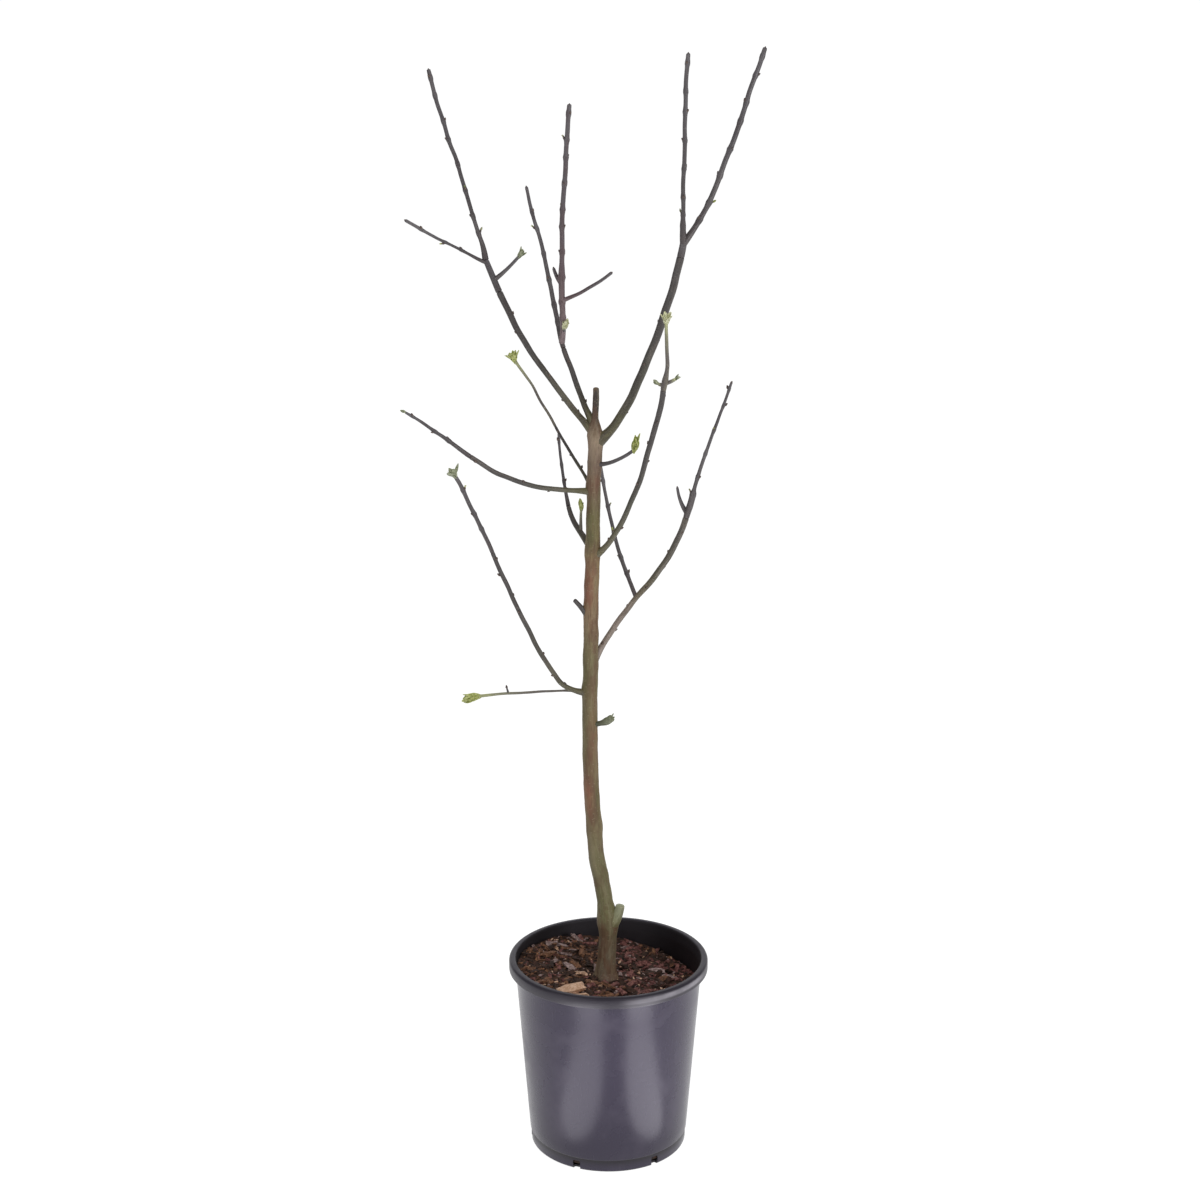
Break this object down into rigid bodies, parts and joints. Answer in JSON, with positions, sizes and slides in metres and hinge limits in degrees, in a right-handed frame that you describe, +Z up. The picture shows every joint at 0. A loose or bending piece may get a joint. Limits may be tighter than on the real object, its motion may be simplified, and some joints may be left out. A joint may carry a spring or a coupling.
{
  "type": "potted almond tree",
  "caption": "Young, nearly bare almond tree breaking into leaf: slim trunk with a graft bend, upswept boughs and twigs with tufts of small leaves, in a tapered black nursery pot of compost",
  "frame": {"origin": "middle of the pot's flat underside, on the floor", "axes": "+Z up along the tree, +X to the right of the front view, +Y away from the front view"},
  "size_m": [0.3844, 0.2394, 1.2618],
  "materials": {
    "pot_plastic": "dark grey moulded plastic with a soft sheen",
    "compost": "dark bark compost, rough and matt",
    "bark": "thin olive brown bark",
    "bough_bark": "dark grey brown bark",
    "twigs": "grey brown twigs with small yellow green leaves"
  },
  "bodies": {
    "root": {"pot": "pot_plastic", "compost": "compost", "trunk": "bark", "bough_left": "bough_bark", "bough_back": "bough_bark", "bough_right": "bough_bark", "bough_front": "bough_bark", "bough_low_right": "bough_bark", "bough_mid_left": "bough_bark", "bough_left_back": "bough_bark", "bough_rear": "bough_bark", "bough_low_left": "bough_bark", "twigs_left": "twigs", "twigs_back": "twigs", "twigs_right": "twigs", "twigs_front": "twigs", "twigs_low_right": "twigs", "twigs_behind": "twigs", "twigs_mid_left": "twigs", "twigs_left_back": "twigs", "twigs_rear": "twigs", "spur_rear": "twigs", "twigs_low_left": "twigs", "twigs_lowest_left": "twigs", "spur_high_right": "twigs"}
  },
  "joints": []
}
